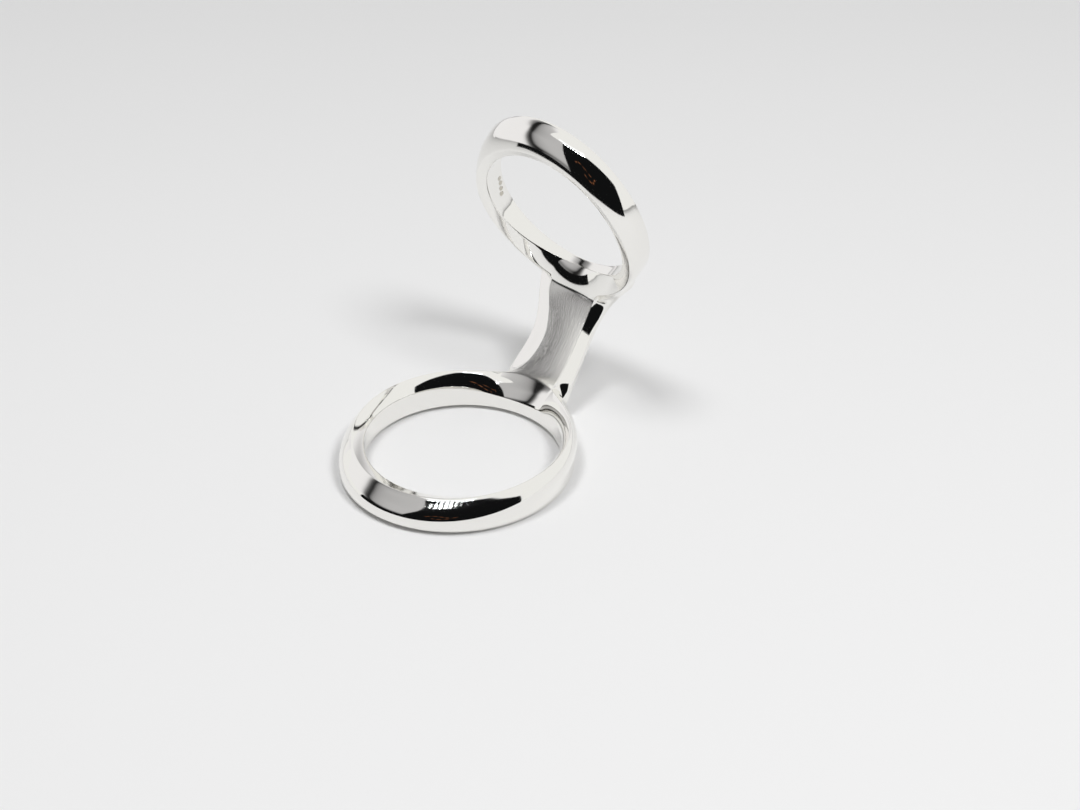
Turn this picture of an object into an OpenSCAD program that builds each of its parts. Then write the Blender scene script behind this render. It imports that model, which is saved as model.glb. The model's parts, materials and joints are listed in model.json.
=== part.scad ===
// Splint ring: two round bands joined by one waisted bridge, one piece of polished silver.
// The origin is the middle of the lower band, on the surface that it lies on.
// +X points from there to the bridge and +Z up. Every pair of sizes is [lower band, upper band].

/* [Bores] */
// Inside radii of the bands
bore_r = [9.0, 7.7]; // [7:0.1:9.5]
// Height of the bore wall round the sides
wall_h = [2.55, 2.55]; // [2.3:0.05:3]
// How much lower the wall is under the bridge
wall_dip = [0.9, 1.35]; // [0.8:0.05:1.7]
// How much lower the wall is opposite the bridge
wall_far = [0.2, 0.8]; // [0:0.05:0.9]
// Height of the bevel between the bore and the rim
bevel_h = [0.4, 0.3]; // [0.2:0.05:0.5]

/* [Crest, where the inner flare meets the domed outside] */
// How much the flare bows out between the bore and the crest, in degrees at its ends
flare_bow = [18, 7]; // [0:1:35]
// Outwards from the bore, opposite the bridge
crest_far = [1.3, 0.75]; // [0.3:0.05:1.4]
// Outwards from the bore, at the sides
crest_side = [0.85, 1.15]; // [0.6:0.05:1.4]
// Added as the band runs into the bridge
crest_flare = [0.85, 0.45]; // [0.3:0.05:1.8]
// Crest height opposite the bridge
crest_far_z = [2.9, 1.9]; // [1.8:0.05:3]
// Crest height at the sides
crest_side_z = [3.8, 2.85]; // [2.6:0.05:4]
// Crest height at the corners of the bridge
crest_neck_z = [3.4, 2.8]; // [2.6:0.05:3.6]

/* [Domed outside] */
// Thickness of the band opposite the bridge
thick_far = [2.9, 2.55]; // [2.3:0.05:3.1]
// Thickness at the sides
thick_side = [1.25, 1.5]; // [1.1:0.05:2]
// Thickness under the bridge
thick_neck = [3, 3.2]; // [2.4:0.05:3.4]
// Height of the widest line opposite the bridge
wide_far_z = [0.85, 0.2]; // [0.2:0.05:1.3]
// Height of the widest line under the bridge
wide_neck_z = [0.95, 1.45]; // [0.7:0.05:1.6]
// Steepness at which the dome leaves the crest, opposite the bridge
steep_far = [42, 34]; // [30:1:50]
// The same at the sides
steep_side = [48, 52]; // [40:1:60]
// How far the rim hangs lower opposite the bridge
rim_drop = [0, 1]; // [0:0.05:1]

/* [Pose of the upper band] */
// Middle of its far rim, outwards and up
upper_x = 17.3; // [16.5:0.05:18.5]
upper_z = 19.15; // [18.5:0.05:20]
// Lean of its axis from upright
upper_tilt = 65.5; // [64:0.5:70]
// Slight hand-set turn about the upright
upper_turn = -6; // [-8:0.5:8]

/* [Bridge: low, middle and high section] */
// Outwards from the middle of the lower band
bridge_x = [11.3, 15.7, 18.55]; // [11:0.05:19]
// Height
bridge_z = [3.4, 6.1, 9.1]; // [3:0.05:9.5]
// Lean of the section, 0 lies flat and 90 stands up
bridge_lean = [24, 41, 64]; // [15:1:75]
// Set off to the side
bridge_y = [-0.8, -0.8, 0.5]; // [-1:0.05:1]
// Half the width of the flat front
front_w = [2.0, 1.5, 2.7]; // [1.4:0.05:2.8]
// How far the rounded left side stands out past the front
bulge_left = [2.0, 1.6, 1.25]; // [0.5:0.05:2.1]
// The same on the right
bulge_right = [1.3, 0.7, 1.05]; // [0.5:0.05:1.4]
// Thickness
bridge_t = [2, 1.9, 1.9]; // [1.6:0.1:2.2]

/* [Hidden] */

// Half the angle that the bridge takes up on each band
neck = [16, 18.5];
// Angles over which the shape changes near the bridge
dip_spread = [40, 52];
crest_spread = [8, 20];
neck_spread = 26;
// Power of the blend from the sides to the far side
far_power = [2.2, 2.8];
// Width of the rim, outwards from the bore, opposite the bridge, at the sides and under the bridge
rim_far_w = [2, 0.95];
rim_side_w = [1, 0.85];
rim_neck_w = [1.8, 1.2];
// Pull of the dome's curve at the crest, as a share of its chord, and where it turns upright
dome_pull = [0.54, 0.3];
dome_turn = [0.51, 0.53];
// Steepness of the dome at the bridge
steep_neck = 5;
// The dome's columns lean this much away from the bridge
column_slant = [4, 18];
slant_spread = 25;
// Pull of the bands on the bridge's front, sides and back
pull_front = [0.4, 0.5];
pull_side = [0.65, 0.65];
pull_back = [1.2, 1.0];
// Share of the radial lead that is left at the corners, and of the pull
corner_lead = 0.45;
corner_pull = 0.6;
// Depth of the bridge's widest line on the left and on the right, and the crown of its front
depth_left = 0.45;
depth_right = 1.15;
front_crown = 0.1;
// Pull of the flare's curve at both its ends, as a share of its chord
FLARE_PULL = 0.35;
// The bands are modelled this much too thick inside, and the round bores are then cut
bore_spare = 0.15;
bore_cut_h = 6;
bore_cut_z = -2;

// Mesh: columns across the bridge and round the rest, rows of each stretch
N_NECK = 8;
N_ROUND = 56;
N_FLARE = 4;
N_TOP = 5;
N_LOW = 6;
N_BRIDGE = 26;
N_COLS = N_NECK + N_ROUND;
ROW_CREST = 1 + N_FLARE;
N_SIDE = N_TOP + N_LOW / 2;
ROW_HOLE = ROW_CREST + N_SIDE;
N_ROWS = ROW_CREST + N_TOP + N_LOW + 1;
N_LOOP = 2 * N_NECK + 2 * N_SIDE;

// Angle from the bridge, -180 to 180
function wrap(a) = a > 180 ? a - 360 : a;
// 0 at the bridge to 1 opposite it
function half_turn(a) = (1 - cos(a)) / 2;
function far(b, a) = pow(half_turn(a), far_power[b]);
// 1 at the bridge, fading over a spread
function near(a, spread) = exp(-pow(wrap(a) / spread, 2));
function fade(a, b) = exp(-max(abs(wrap(a)) - neck[b], 0) / crest_spread[b]);
function polar(r, a, z) = [r * cos(a), r * sin(a), z];
function bezier(p, t) =
    p[0] * pow(1 - t, 3) + 3 * p[1] * t * pow(1 - t, 2) + 3 * p[2] * t * t * (1 - t) + p[3] * pow(t, 3);
function unit(v) = v / norm(v);
// Blend of a size opposite the bridge, at the sides and at the bridge
function around(b, a, opposite, side, bridge) =
    side[b] + (opposite[b] - side[b]) * far(b, a) + (bridge[b] - side[b]) * near(a, neck_spread);

// Named lines of band b at angle a
function wall_top(b, a) = wall_h[b] - wall_dip[b] * near(a, dip_spread[b]) - wall_far[b] * far(b, a);
function crest_r(b, a) = bore_r[b] + crest_side[b] + (crest_far[b] - crest_side[b]) * far(b, a)
    + crest_flare[b] * fade(a, b);
function crest_z(b, a) = crest_side_z[b] + (crest_far_z[b] - crest_side_z[b]) * far(b, a)
    + (crest_neck_z[b] - crest_side_z[b]) * fade(a, b);
function rim_z(b, a) = -rim_drop[b] * far(b, a);
function rim_r(b, a) = bore_r[b] + around(b, a, rim_far_w, rim_side_w, rim_neck_w);
function wide_r(b, a) = bore_r[b] + around(b, a, thick_far, thick_side, thick_neck);
function wide_z(b, a) = rim_z(b, a) + wide_far_z[b] + (wide_neck_z[b] - wide_far_z[b]) * near(a, neck_spread);

// Inner flare, bowed outwards: s = 0 at the bore's edge and 1 at the crest
function flare_point(b, a, s) =
    let (r0 = bore_r[b], z0 = wall_top(b, a), r1 = crest_r(b, a), z1 = crest_z(b, a),
         slope = atan2(z1 - z0, r1 - r0), bow = flare_bow[b] * (1 - pow(half_turn(a), 2)),
         pull = FLARE_PULL * norm([r1 - r0, z1 - z0]),
         q = bezier([[r0, z0], [r0 + pull * cos(slope + bow), z0 + pull * sin(slope + bow)],
                     [r1 - pull * cos(slope - bow), z1 - pull * sin(slope - bow)], [r1, z1]], s))
    polar(q.x, a, q.y);

// Dome: t = 0 at the crest, 1 at the widest line and 2 at the rim
function dome_angle(b, a, t) = a + sign(wrap(a)) * column_slant[b] * min(t * N_TOP / N_SIDE, 1)
    * (abs(wrap(a)) < neck[b] ? abs(wrap(a)) / neck[b] : exp((neck[b] - abs(wrap(a))) / slant_spread));
function dome_top(b, a, t) =
    let (r0 = crest_r(b, a), z0 = crest_z(b, a), r1 = wide_r(b, a), z1 = wide_z(b, a),
         steep = around(b, a, steep_far, steep_side, [steep_neck, steep_neck]),
         pull = dome_pull[b] * norm([r1 - r0, z1 - z0]))
    bezier([[r0, z0], [r0 + pull * cos(steep), z0 - pull * sin(steep)],
            [r1, z1 + dome_turn[b] * (z0 - z1)], [r1, z1]], t);
function dome_low(b, a, t) =
    let (r0 = rim_r(b, a), z0 = rim_z(b, a), r1 = wide_r(b, a), z1 = wide_z(b, a))
    bezier([[r1, z1], [r1, z0 + 0.4 * (z1 - z0)], [(r0 + r1) / 2, z0], [r0, z0]], t);
function dome_point(b, a, t) =
    let (q = t <= 1 ? dome_top(b, a, t) : dome_low(b, a, t - 1)) polar(q.x, dome_angle(b, a, t), q.y);
function dome_step(row) = row <= N_TOP ? row / N_TOP : 1 + (row - N_TOP) / N_LOW;

// The bore wall's two rows stand inside the true bore, on the lines of the bevel and the flare
function wall_low_point(b, a) =
    let (w = rim_r(b, a) - bore_r[b])
    polar(bore_r[b] - bore_spare, a, rim_z(b, a) + bevel_h[b] * (1 + bore_spare / w));
function wall_top_point(b, a) =
    let (p = flare_point(b, a, 0), q = flare_point(b, a, 1 / N_FLARE), w = norm([q.x, q.y]) - bore_r[b])
    p + (p - q) * bore_spare / w;

// One point of band b in its own frame, by row and column
function column_angle(b, c) = c <= N_NECK
    ? neck[b] * (2 * c / N_NECK - 1)
    : neck[b] + (360 - 2 * neck[b]) * (c - N_NECK) / N_ROUND;
function band_point(b, row, a) =
    row == 0 ? wall_low_point(b, a) :
    row == 1 ? wall_top_point(b, a) :
    row <= ROW_CREST ? flare_point(b, a, (row - 1) / N_FLARE) :
    dome_point(b, a, dome_step(row - ROW_CREST));

// The upper band's frame: bridge direction, lateral and towards the lower band
UPPER_X = [cos(upper_tilt) * cos(upper_turn), cos(upper_tilt) * sin(upper_turn), -sin(upper_tilt)];
UPPER_Y = [-sin(upper_turn), cos(upper_turn), 0];
UPPER_Z = -[sin(upper_tilt) * cos(upper_turn), sin(upper_tilt) * sin(upper_turn), cos(upper_tilt)];
UPPER_O = [upper_x, 0, upper_z];
function aim(b, v) = b == 0 ? v : v.x * UPPER_X + v.y * UPPER_Y + v.z * UPPER_Z;
function place(b, v) = b == 0 ? v : UPPER_O + aim(b, v);

// The loop on each band where the bridge grows out of it: front, one side, back, other side
function loop_row(j) =
    j <= N_NECK ? ROW_CREST :
    j < N_NECK + N_SIDE ? ROW_CREST + j - N_NECK :
    j <= 2 * N_NECK + N_SIDE ? ROW_HOLE : ROW_CREST + N_LOOP - j;
function loop_col(j) =
    j <= N_NECK ? j :
    j < N_NECK + N_SIDE ? N_NECK :
    j <= 2 * N_NECK + N_SIDE ? 2 * N_NECK + N_SIDE - j : 0;
function on_front(j) = j <= N_NECK;
function on_back(j) = j >= N_NECK + N_SIDE && j <= 2 * N_NECK + N_SIDE;

// Direction and pull with which the bridge leaves band b at loop point j
function inwards(a) = a == 0 ? [0, 0, 0] : polar(1, a - sign(a) * 90, 0);
function lead_front(b, a) =
    let (u = abs(a) / neck[b], w = pow(u, 3), out = unit(flare_point(b, a, 1) - flare_point(b, a, 0.6)))
    unit(out * (1 - (1 - corner_lead) * w) + inwards(a) * w) * (1 - (1 - corner_pull) * w) * pull_front[b];
function lead_back(b, a) =
    let (u = abs(a) / neck[b], w = pow(u, 3), t = dome_step(N_SIDE),
         out = unit(dome_point(b, a, t) - dome_point(b, a, t + 0.05)))
    unit(out + inwards(a) * w) * (1 - (1 - corner_pull) * w) * pull_back[b];
function lead_side(b, a, row) =
    let (t = dome_step(row), away = 2 * sign(a), w = pow(row / N_SIDE, 2), p = dome_point(b, a, t),
         along = unit(p - dome_point(b, a + away, t)), out = unit(p - dome_point(b, a, t + 0.05)))
    unit(along + out * w) * (1 - (1 - corner_pull) * w) * pull_side[b];
function lead(b, j) =
    let (a = column_angle(b, loop_col(j)))
    aim(b, on_front(j) ? lead_front(b, a) : on_back(j) ? lead_back(b, a)
        : lead_side(b, a, loop_row(j) - ROW_CREST));

// Bridge section k: the front from side to side, then round the back
HALF_OUTLINE = N_SIDE + N_NECK / 2;
function outline(k, j, bulge, deep) =
    let (w = front_w[k], wide = front_w[k] + bulge, t = bridge_t[k])
    j <= N_TOP
    ? bezier([[w, 0], [w + 0.6 * bulge, 0.1 * deep], [wide, 0.45 * deep], [wide, deep]], j / N_TOP)
    : bezier([[wide, deep], [wide, deep + 0.55 * (t - deep)], [0.55 * wide, t], [0, t]],
             (j - N_TOP) / (HALF_OUTLINE - N_TOP));
function section_yd(k, j) =
    let (u = 2 * j / N_NECK - 1, i = j - N_NECK)
    on_front(j) ? [u * front_w[k], -front_crown * (1 - u * u)] :
    i <= HALF_OUTLINE ? outline(k, i, bulge_left[k], depth_left) :
    let (q = outline(k, 2 * HALF_OUTLINE - i, bulge_right[k], depth_right)) [-q.x, q.y];
function section_point(k, j) =
    let (q = section_yd(k, j), s = sin(bridge_lean[k]), c = cos(bridge_lean[k]))
    [bridge_x[k] + q.y * s, bridge_y[k] + q.x, bridge_z[k] - q.y * c];

// Each of the bridge's columns is one smooth cubic spline from band to band
KNOTS = [0, 0, 0, 0, 1, 2, 3, 4, 4, 4, 4];
function ratio(n, d) = d == 0 ? 0 : n / d;
function basis(i, k, t) = k == 0
    ? (t >= KNOTS[i] && t < KNOTS[i + 1] ? 1 : 0)
    : ratio(t - KNOTS[i], KNOTS[i + k] - KNOTS[i]) * basis(i, k - 1, t)
      + ratio(KNOTS[i + k + 1] - t, KNOTS[i + k + 1] - KNOTS[i + 1]) * basis(i + 1, k - 1, t);
function band_loop_point(b, j) =
    let (a = column_angle(b, loop_col(j))) place(b, band_point(b, loop_row(j), a));
function column_controls(j) =
    let (p = band_loop_point(0, j), q = band_loop_point(1, j))
    [p, p + lead(0, j), section_point(0, j), section_point(1, j), section_point(2, j), q + lead(1, j), q];

// Numbering of the points, and the faces between them
function band_id(b, row, c) = (b * N_ROWS + row % N_ROWS) * N_COLS + c % N_COLS;
function bridge_id(k, j) =
    k == 0 ? band_id(0, loop_row(j), loop_col(j)) :
    k == N_BRIDGE ? band_id(1, loop_row(j), loop_col(j)) :
    2 * N_ROWS * N_COLS + (k - 1) * N_LOOP + j;
function in_hole(row, c) = row >= ROW_CREST && row < ROW_HOLE && c < N_NECK;
function halves(q) = [[q[0], q[1], q[2]], [q[0], q[2], q[3]]];
function flipped(q) = [q[3], q[2], q[1], q[0]];

// Both bands, open where the bridge joins them, and the bridge between, as one closed skin
module skin() {
    band_points = [for (b = [0, 1], row = [0:N_ROWS - 1], c = [0:N_COLS - 1])
        place(b, band_point(b, row, column_angle(b, c)))];
    controls = [for (j = [0:N_LOOP - 1]) column_controls(j)];
    weights = [for (k = [1:N_BRIDGE - 1]) [for (i = [0:6]) basis(i, 3, 4 * k / N_BRIDGE)]];
    bridge_points = [for (w = weights, column = controls) w * column];
    band_faces = [for (b = [0, 1], row = [0:N_ROWS - 1], c = [0:N_COLS - 1]) if (!in_hole(row, c))
        let (q = [band_id(b, row, c), band_id(b, row, c + 1), band_id(b, row + 1, c + 1), band_id(b, row + 1, c)])
        each halves(b == 0 ? q : flipped(q))];
    bridge_faces = [for (k = [0:N_BRIDGE - 1], j = [0:N_LOOP - 1])
        let (i = (j + 1) % N_LOOP)
        each halves([bridge_id(k, j), bridge_id(k, i), bridge_id(k + 1, i), bridge_id(k + 1, j)])];
    polyhedron(concat(band_points, bridge_points), concat(band_faces, bridge_faces), 10);
}

// The round hole for the finger in band b, its seam turned to fall between two columns
module finger_bore(b) {
    module cutter(z) {
        rotate([0, 0, neck[b] / N_NECK]) translate([0, 0, z])
            cylinder(h = bore_cut_h, r = bore_r[b], $fn = 96);
    }
    if (b == 0)
        cutter(bore_cut_z);
    else
        translate(UPPER_O) rotate([0, upper_tilt, upper_turn]) cutter(-bore_cut_h - bore_cut_z);
}

module splint_ring() {
    color("silver") difference() {
        skin();
        finger_bore(0);
        finger_bore(1);
    }
}

splint_ring();
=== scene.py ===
# %% [markdown]
# # A splint ring in polished silver
#
# A splint ring holds a finger joint. It has two round bands and a curved bridge between them, and
# it is one piece of metal. The construction is already fixed in the frame that loads below, so this
# script only makes what the eye sees: a smooth skin of the same shape, the polish of hand-finished
# silver, and the light box in which the ring stands.

import json
import math

import bmesh
import bpy
import numpy as np
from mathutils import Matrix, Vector


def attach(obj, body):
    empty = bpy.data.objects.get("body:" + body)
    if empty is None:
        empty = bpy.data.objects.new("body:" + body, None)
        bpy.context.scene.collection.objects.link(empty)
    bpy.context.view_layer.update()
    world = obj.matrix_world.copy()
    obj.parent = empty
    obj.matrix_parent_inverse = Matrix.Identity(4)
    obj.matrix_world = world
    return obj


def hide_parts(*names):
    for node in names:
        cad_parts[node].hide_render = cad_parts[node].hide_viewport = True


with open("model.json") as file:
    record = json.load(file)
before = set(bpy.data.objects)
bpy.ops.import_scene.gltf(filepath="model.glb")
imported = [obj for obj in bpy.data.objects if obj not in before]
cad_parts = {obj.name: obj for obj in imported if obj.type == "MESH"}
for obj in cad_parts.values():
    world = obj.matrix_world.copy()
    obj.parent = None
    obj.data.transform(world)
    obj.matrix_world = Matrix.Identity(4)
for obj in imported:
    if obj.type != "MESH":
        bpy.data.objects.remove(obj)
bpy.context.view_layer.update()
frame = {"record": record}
MM = 0.001

# %% [markdown]
# ## Where the bands are
#
# The frame's record says where a finger goes in: each bore has a radius, a point and an axis. Both
# bands are drawn in a frame of their own, whose first direction points to the bridge and whose third
# runs along the bore. Reading them from the record keeps the skin on the real metal.

# %% Band frames
BORES = {m["name"]: m for m in frame["record"]["mounts"]}
UPPER_MOUNT_HEIGHT = 0.6 * MM
UPRIGHT = 0.99


def band_frame(bore, side, towards_other, height):
    """Centre of the rim, direction to the bridge, sideways direction and axis, of one band."""
    axis = Vector(bore["axis"]).normalized() * side
    sideways = Vector((-axis.y, axis.x, 0)).normalized() if abs(axis.z) < UPRIGHT else Vector((0, 1, 0))
    if sideways.y < 0:
        sideways.negate()
    to_bridge = axis.cross(sideways).normalized()
    if to_bridge.dot(towards_other) < 0:
        to_bridge.negate()
    return {
        "Centre": Vector(bore["pos_m"]) - axis * height,
        "To bridge": to_bridge,
        "Sideways": sideways,
        "Axis": axis,
    }


LOWER = band_frame(BORES["lower_bore"], 1, Vector((1, 0, 0)), BORES["lower_bore"]["pos_m"][2])
UPPER = band_frame(BORES["upper_bore"], -1, Vector((0, 0, -1)), UPPER_MOUNT_HEIGHT)
print("upper band leans", round(math.degrees(math.acos(-UPPER["Axis"].z))), "degrees")

# %% [markdown]
# ## The rule of a band
#
# A jeweller files the band from a thick ring. Going round it, only a few sizes change: the bore's
# wall dips at the bridge, the crest flares out there, and the domed outside is thickest opposite it.
# A shape with such a rule is a good case for Geometry Nodes: a plain grid is bent into the band, and
# every size is a named input. Writing a formula as nodes by hand is slow to read, so a small class
# turns ordinary arithmetic into Math nodes.

# %% Arithmetic that writes nodes
class Field:
    """A number that changes over the grid. Arithmetic on it adds Math nodes to the tree."""

    def __init__(self, tree, socket):
        self.tree, self.socket = tree, socket

    def math(self, operation, *others):
        node = self.tree.nodes.new("ShaderNodeMath")
        node.operation = operation
        for place, value in zip(node.inputs, (self, *others)):
            if isinstance(value, Field):
                self.tree.links.new(value.socket, place)
            else:
                place.default_value = value
        return Field(self.tree, node.outputs[0])

    def constant(self, value):
        node = self.tree.nodes.new("ShaderNodeValue")
        node.outputs[0].default_value = value
        return Field(self.tree, node.outputs[0])

    def __add__(self, other):
        return self.math("ADD", other)

    def __sub__(self, other):
        return self.math("SUBTRACT", other)

    def __mul__(self, other):
        return self.math("MULTIPLY", other)

    def __truediv__(self, other):
        return self.math("DIVIDE", other)

    def __rsub__(self, other):
        return self.constant(other) - self

    def __pow__(self, other):
        return self.math("POWER", other)

    __radd__, __rmul__ = __add__, __mul__

    def exp(self):
        return self.math("EXPONENT")

    def cos(self):
        return self.math("RADIANS").math("COSINE")

    def sin(self):
        return self.math("RADIANS").math("SINE")

    def at_most(self, other):
        return self.math("MINIMUM", other)

    def at_least(self, other):
        return self.math("MAXIMUM", other)

    def below(self, other):
        """1 where this is under the other, else 0."""
        return self.math("LESS_THAN", other)

    def or_else(self, choice, other):
        """This where choice is 1, the other where it is 0."""
        return other + (self - other) * choice


def bezier(a, b, c, d, t):
    """Point of a cubic curve. Works on fields and on plain numbers."""
    s = 1 - t
    return a * s * s * s + b * s * s * t * 3 + c * s * t * t * 3 + d * t * t * t


print("fields ready")

# %% [markdown]
# ## Sizes of the bands
#
# Each line is one named input of the tree, with its value on the lower and on the upper band, in
# millimetres or degrees. They are the sizes of the construction, so that the skin lies on it.

# %% Band sizes
BAND_SIZES = {
    "Bore radius": [BORES[name]["dims"]["r_mm"] for name in ("lower_bore", "upper_bore")],
    "Wall height": (2.55, 2.55),
    "Wall dip at the bridge": (0.9, 1.35),
    "Wall dip spread": (40, 52),
    "Wall loss opposite": (0.2, 0.8),
    "Bevel height": (0.4, 0.3),
    "Flare bow": (18, 7),
    "Crest out, opposite": (1.3, 0.75),
    "Crest out, sides": (0.85, 1.15),
    "Crest flare": (0.85, 0.45),
    "Crest height, opposite": (2.9, 1.9),
    "Crest height, sides": (3.8, 2.85),
    "Crest height, bridge": (3.4, 2.8),
    "Crest spread": (8, 20),
    "Steepness, opposite": (42, 34),
    "Steepness, sides": (48, 52),
    "Steepness, bridge": (5, 5),
    "Dome pull": (0.54, 0.3),
    "Dome turn": (0.51, 0.53),
    "Thickness, opposite": (2.9, 2.55),
    "Thickness, sides": (1.25, 1.5),
    "Thickness, bridge": (3.0, 3.2),
    "Widest height, opposite": (0.85, 0.2),
    "Widest height, bridge": (0.95, 1.45),
    "Rim drop": (0.0, 1.0),
    "Rim width, opposite": (2.0, 0.95),
    "Rim width, sides": (1.0, 0.85),
    "Rim width, bridge": (1.8, 1.2),
    "Far power": (2.2, 2.8),
    "Neck half angle": (16, 18.5),
    "Neck spread": (26, 26),
    "Column slant": (4, 18),
    "Slant spread": (25, 25),
}
FLARE_PULL = 0.35
RIM_PULL = 0.4
WELD_DISTANCE = 0.002 * MM
GRID_SIZES = {
    "Columns at the neck": 32,
    "Columns round": 232,
    "Rows of the wall": 4,
    "Rows of the flare": 8,
    "Rows to the widest line": 12,
    "Rows to the rim": 10,
}
print(len(BAND_SIZES), "sizes for each band")

# %% [markdown]
# ## The band as a node tree
#
# The grid's vertices are numbered column by column, so a vertex finds its column and row from its
# index. The column gives the angle from the bridge, and the row says which stretch of the outline it
# is on: bore wall, inner flare, dome, or rim. A last step takes out the faces where the bridge grows
# out of the band, and joins the first column to the last.

# %% Band tree
def named_inputs(tree):
    """The tree's inputs for every size, and the fields that they give."""
    for name in BAND_SIZES:
        tree.interface.new_socket(name, in_out="INPUT", socket_type="NodeSocketFloat")
    for name in GRID_SIZES:
        tree.interface.new_socket(name, in_out="INPUT", socket_type="NodeSocketInt")
    for name in ("Centre", "To bridge", "Sideways", "Axis"):
        tree.interface.new_socket(name, in_out="INPUT", socket_type="NodeSocketVector")
    tree.interface.new_socket("Metal", in_out="INPUT", socket_type="NodeSocketMaterial")
    tree.interface.new_socket("Geometry", in_out="OUTPUT", socket_type="NodeSocketGeometry")
    group_input = tree.nodes.new("NodeGroupInput")
    return {s.name: Field(tree, s) for s in group_input.outputs if s.name}


def band_lines(size, angle):
    """Radii and heights of the band's named lines at an angle from the bridge."""
    off = angle.math("ABSOLUTE")
    half_turn = (1 - off.cos()) / 2
    far = half_turn ** size["Far power"]
    near_neck = (((off / size["Neck spread"]) ** 2) * -1).exp()
    near_dip = (((off / size["Wall dip spread"]) ** 2) * -1).exp()
    fade = ((off - size["Neck half angle"]).at_least(0) / size["Crest spread"] * -1).exp()
    bore = size["Bore radius"]

    def around(name):
        side = size[name + ", sides"]
        return size[name + ", opposite"].or_else(far, side) + (size[name + ", bridge"] - side) * near_neck

    rim_z = size["Rim drop"] * far * -1
    return {
        "wall top": size["Wall height"] - size["Wall dip at the bridge"] * near_dip
        - size["Wall loss opposite"] * far,
        "crest r": bore + size["Crest out, opposite"].or_else(far, size["Crest out, sides"])
        + size["Crest flare"] * fade,
        "crest z": size["Crest height, opposite"].or_else(far, size["Crest height, sides"])
        + (size["Crest height, bridge"] - size["Crest height, sides"]) * fade,
        "wide r": bore + around("Thickness"),
        "wide z": rim_z + size["Widest height, bridge"].or_else(near_neck, size["Widest height, opposite"]),
        "rim r": bore + around("Rim width"),
        "rim z": rim_z,
        "wall low": rim_z + size["Bevel height"],
        "steepness": around("Steepness"),
        "bow": size["Flare bow"] * (1 - half_turn * half_turn),
    }


def flare_curve(size, line, t):
    """Radius and height on the inner flare, from the wall's top to the crest, bowed outwards."""
    bore, top = size["Bore radius"], line["wall top"]
    run, rise = line["crest r"] - bore, line["crest z"] - top
    pull = (run * run + rise * rise).math("SQRT") * FLARE_PULL
    slope = rise.math("ARCTAN2", run).math("DEGREES")
    leaves, arrives = slope + line["bow"], slope - line["bow"]
    r = bezier(bore, bore + pull * leaves.cos(), line["crest r"] - pull * arrives.cos(), line["crest r"], t)
    z = bezier(top, top + pull * leaves.sin(), line["crest z"] - pull * arrives.sin(), line["crest z"], t)
    return r, z


def dome_curve(size, line, t):
    """Radius and height on the upper dome, from the crest to the widest line."""
    run, drop = line["wide r"] - line["crest r"], line["crest z"] - line["wide z"]
    pull = (run * run + drop * drop).math("SQRT") * size["Dome pull"]
    start_r = line["crest r"] + pull * line["steepness"].cos()
    start_z = line["crest z"] - pull * line["steepness"].sin()
    end_z = line["wide z"] + size["Dome turn"] * drop
    r = bezier(line["crest r"], start_r, line["wide r"], line["wide r"], t)
    return r, bezier(line["crest z"], start_z, end_z, line["wide z"], t)


def band_outline(size, line, row):
    """Radius and height of a row of the grid, and how many rows it lies below the crest."""
    walls, flares = size["Rows of the wall"], size["Rows of the flare"]
    tops, lows = size["Rows to the widest line"], size["Rows to the rim"]
    bore = size["Bore radius"]
    on_wall = (row / walls).at_most(1)
    on_flare = ((row - walls) / flares).at_least(0).at_most(1)
    on_top = ((row - walls - flares) / tops).at_least(0).at_most(1)
    on_low = ((row - walls - flares - tops) / lows).at_least(0).at_most(1)
    flare_r, flare_z = flare_curve(size, line, on_flare)
    top_r, top_z = dome_curve(size, line, on_top)
    low_r = bezier(
        line["wide r"], line["wide r"], (line["wide r"] + line["rim r"]) / 2, line["rim r"], on_low
    )
    low_z = bezier(
        line["wide z"],
        line["rim z"] + (line["wide z"] - line["rim z"]) * RIM_PULL,
        line["rim z"],
        line["rim z"],
        on_low,
    )
    past_wall = row.math("GREATER_THAN", walls)
    past_crest = row.math("GREATER_THAN", walls + flares)
    past_wide = row.math("GREATER_THAN", walls + flares + tops)
    past_rim = row.math("GREATER_THAN", walls + flares + tops + lows)
    wall_z = line["wall top"].or_else(on_wall, line["wall low"])
    r, z = flare_r.or_else(past_wall, bore), flare_z.or_else(past_wall, wall_z)
    r, z = top_r.or_else(past_crest, r), top_z.or_else(past_crest, z)
    r, z = low_r.or_else(past_wide, r), low_z.or_else(past_wide, z)
    r, z = bore.or_else(past_rim, r), line["wall low"].or_else(past_rim, z)
    depth = tops * on_top + lows * on_low
    return r, z, depth * (1 - past_rim)


print("outline rules ready")

# %% [markdown]
# The same tree serves both bands, so it is put together once and each band gives it other values.
# Set Position bends the grid, two stored attributes remember each vertex's place in it for later
# cells, and the mesh is welded where it meets itself.

# %% Band tree, put together
def add_node(tree, kind, inputs=(), **settings):
    """A node with its settings made and its inputs linked or filled, by name or place."""
    node = tree.nodes.new(kind)
    for name, value in settings.items():
        setattr(node, name, value)
    for name, value in dict(inputs).items():
        if isinstance(value, Field):
            tree.links.new(value.socket, node.inputs[name])
        elif isinstance(value, bpy.types.NodeSocket):
            tree.links.new(value, node.inputs[name])
        else:
            node.inputs[name].default_value = value
    return node


def grid_places(tree, size, per_column):
    """Column and row of each element, from its index."""
    index = Field(tree, tree.nodes.new("GeometryNodeInputIndex").outputs[0])
    column = ((index + 0.5) / per_column).math("FLOOR")
    return column, index - column * per_column


def column_angle(size, column):
    """Degrees from the bridge, from minus 180 to 180."""
    necks = size["Columns at the neck"]
    across = size["Neck half angle"] * (column / necks * 2 - 1)
    left_over = 360 - size["Neck half angle"] * 2
    around = size["Neck half angle"] + left_over * ((column - necks) / size["Columns round"])
    angle = across.or_else(column.below(necks + 0.5), around)
    return angle - angle.math("GREATER_THAN", 180) * 360


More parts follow.
